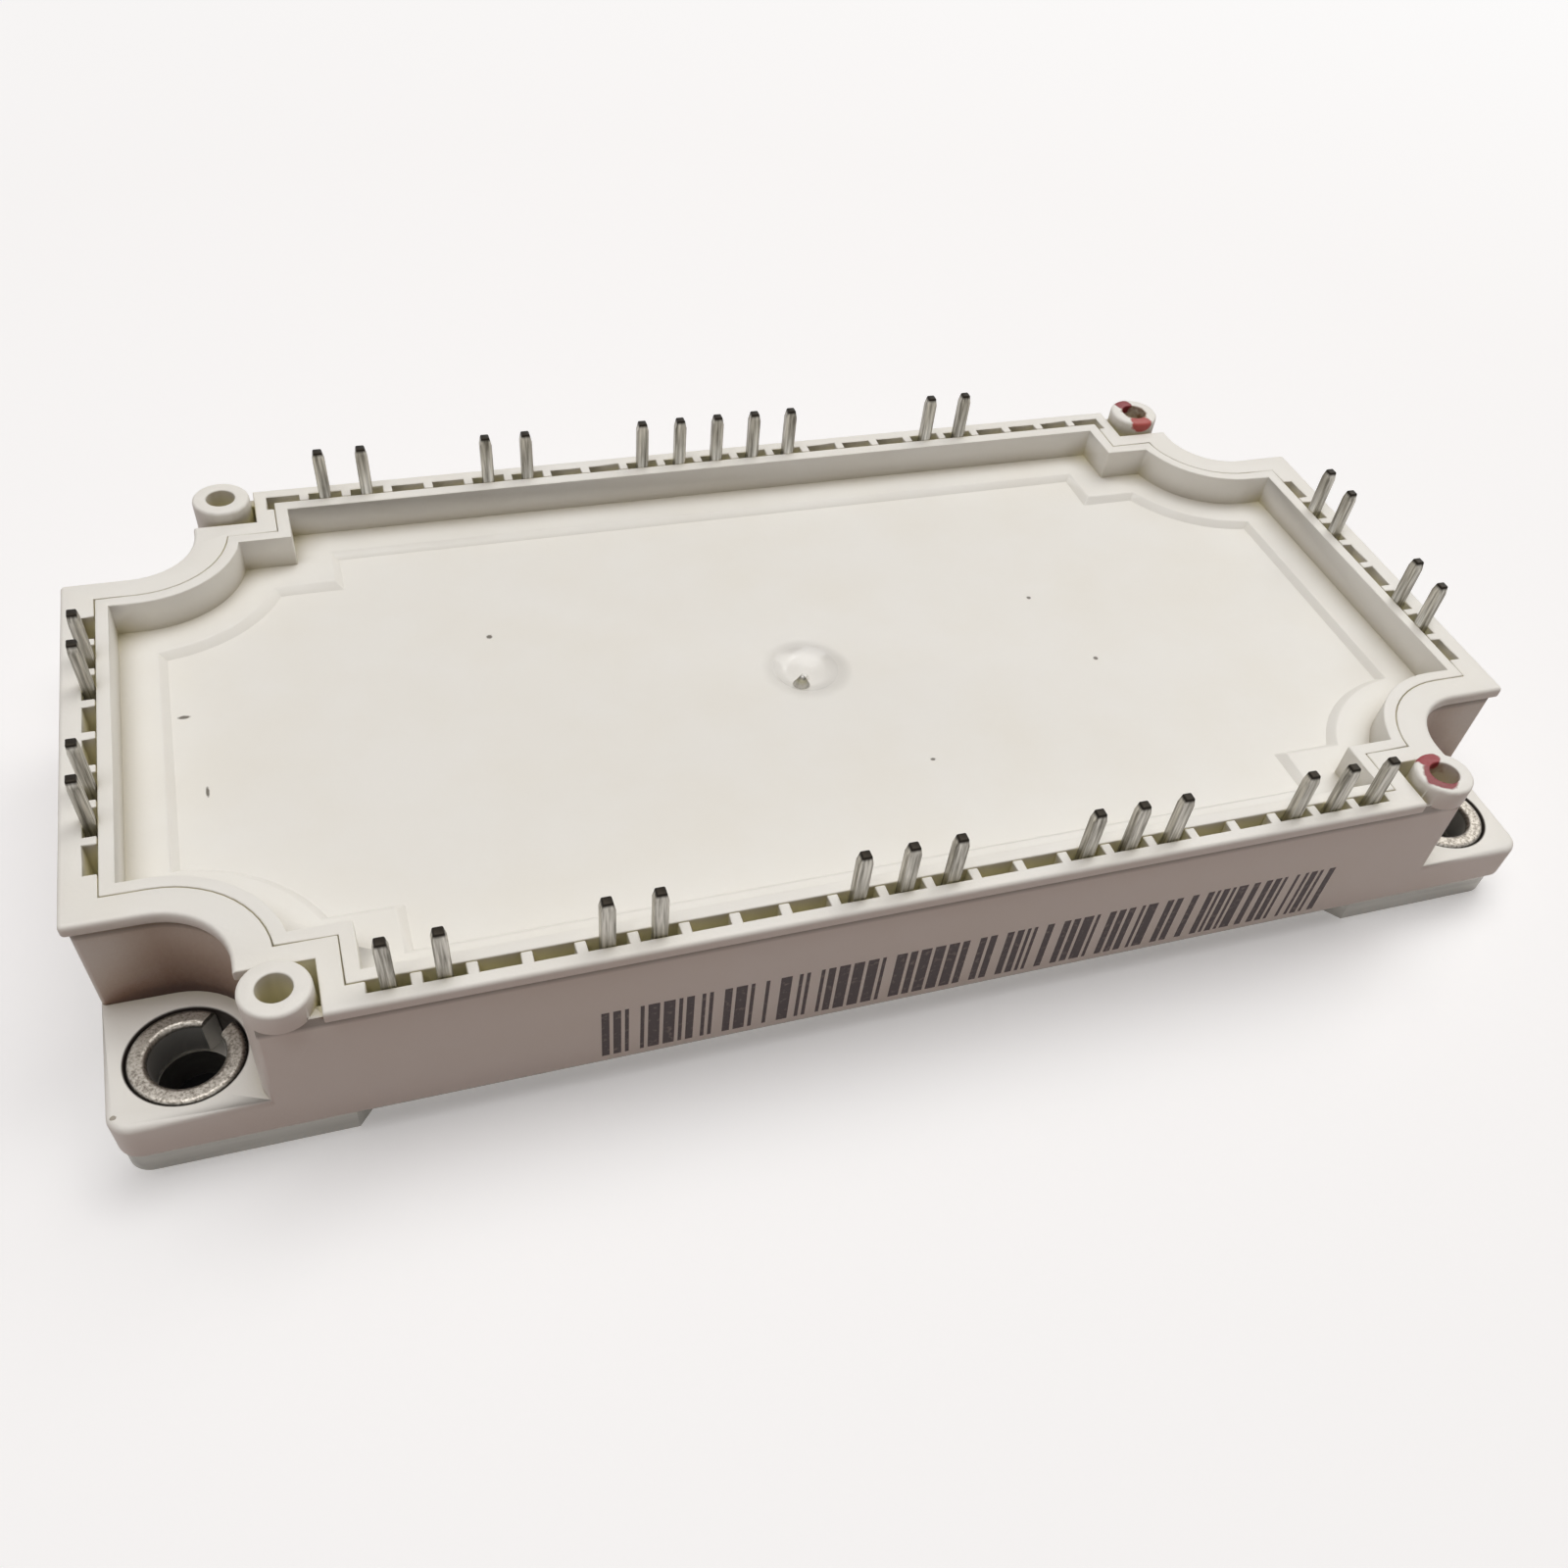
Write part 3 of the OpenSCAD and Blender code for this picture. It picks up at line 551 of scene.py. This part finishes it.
# A copy of a node with its loose triangles joined, its flat faces merged and its edges rounded;
# a second material goes on the upright faces that end under the lip
def softenEdges(node, name, slot, radius, *materials):
    source = bpy.data.objects[node]
    mesh = bmesh.new()
    mesh.from_mesh(source.data)
    bmesh.ops.remove_doubles(mesh, verts=mesh.verts, dist=0.002 * mm)
    bmesh.ops.dissolve_limit(mesh, angle_limit=math.radians(0.5), verts=mesh.verts, edges=mesh.edges)
    widest = max(radius for height, lowest, radius in roundedEdges)
    weight = mesh.edges.layers.float.new("bevel_weight_edge")
    for edge in mesh.edges:
        if edge.calc_face_angle() > sharpest:
            if edge.is_convex:
                edge[weight] = edgeRadius(edge, radius) / widest
            else:
                edge.smooth = False
    if len(materials) > 1:
        for face in mesh.faces:
            face.material_index = int(underLip(face))
    piece = addPiece(mesh, name, *materials)
    piece.data.shade_smooth()
    bevel = piece.modifiers.new("edges", "BEVEL")
    bevel.width = widest * mm
    bevel.segments = housing["edgeSteps"]
    bevel.limit_method = "WEIGHT"
    bevel.use_clamp_overlap = False
    bevel.harden_normals = True
    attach(piece, "root")
    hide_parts(node)


barPrint = {
    "from": -25.6, "to": 38.3, "low": 3.7, "high": 9.2,   # mm along the front wall and up it
    "module": 0.3, "thickness": 0.012, "ink": "#4A4040", "worn": "#8C807C",
}


# Printed bars of chance widths on the front wall, which spell nothing
def printBars(wallFace):
    draw = random.Random(7)
    mesh = bmesh.new()
    height = (barPrint["high"] - barPrint["low"]) * mm
    middle = (barPrint["high"] + barPrint["low"]) / 2 * mm
    front = wallFace - barPrint["thickness"] * mm / 2
    at = barPrint["from"]
    while at < barPrint["to"]:
        width = barPrint["module"] * draw.choice((1, 1, 2, 2, 3))
        gap = barPrint["module"] * draw.choice((1, 1, 1, 2, 3))
        made = bmesh.ops.create_cube(mesh, size=1)["verts"]
        bmesh.ops.scale(mesh, verts=made, vec=(width * mm, barPrint["thickness"] * mm, height))
        bmesh.ops.translate(mesh, verts=made, vec=((at + width / 2) * mm, front, middle))
        at += width + gap
    # Pad-printed ink: a dull brown-grey film, thin enough to break up a little
    material, tree, shader, place = startMaterial("padInk", Roughness=0.6)
    worn = grain(tree, place, 0.5, 3)
    tone = mixColours(tree, remap(tree, worn, 0.55, 0.8), linear(barPrint["ink"]), linear(barPrint["worn"]))
    tree.links.new(tone, shader.inputs["Base Color"])
    bars = addPiece(mesh, "printedBars", material)
    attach(bars, "root")


def nodesNamed(stem):
    return [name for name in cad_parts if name.startswith(stem)]


placeCamera()
lightScene()
layFloor(cadBox[0].z)
print("camera, light and floor placed")

softenEdges("frame", "frameMoulding", "housing", housing["edge"], frameFinish(), wallPaintedShade())
lidResin = lidFinish(lidFloor * mm)
softenEdges("lid", "lidMoulding", "housing", housing["edge"], lidResin)
leaveStub(lidFloor * mm, lidResin)
print("housing softened and coloured")

tin = tinnedStrip(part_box("terminal_front_1")[1].z)
for name in nodesNamed("terminal_"):
    softenEdges(name, name + "Stamping", "tinned_terminal", terminalLook["edge"], tin)
dress(tumbledSteel(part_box("sleeve_front_left")[1].z), *nodesNamed("sleeve_"))
dress(nickelPlate(), "baseplate")
printBars(frontWall * mm)
print("metal and print dressed")

dress(innerFinish("curedSealant", "#D9D5CB", "#C4BFB2", 1.5, Roughness=0.5), "adhesive_bead")
dress(innerFinish("siliconeGel", "#E4E7E3", "#D5DAD4", 6, Roughness=0.15), "gel")
dress(innerFinish("sinteredSensor", "#3B3733", "#26231F", 0.3, Roughness=0.6), "temperature_sensor")
dress(innerFinish("alumina", "#F1EFE9", "#E2DFD6", 0.4, Roughness=0.55), *nodesNamed("ceramic_"))
dress(innerFinish("bareCopper", "#B9754D", "#9C5D3A", 0.8, Metallic=1.0, Roughness=0.4),
      *nodesNamed("bottom_copper_"), *nodesNamed("top_copper_"))
dress(innerFinish("tinSolder", "#A2A4A6", "#85878A", 1.0, Metallic=1.0, Roughness=0.5),
      *nodesNamed("solder_"))
dress(innerFinish("metallisedSilicon", "#6B7175", "#575D61", 0.6, Metallic=0.6, Roughness=0.35),
      "transistor_chips", "freewheel_diodes", "rectifier_diodes")
dress(innerFinish("drawnAluminium", "#CBCDCF", "#B4B6B9", 0.2, Metallic=1.0, Roughness=0.3),
      "chip_wires", "row_wires", "end_wires")
print("inner pieces dressed")
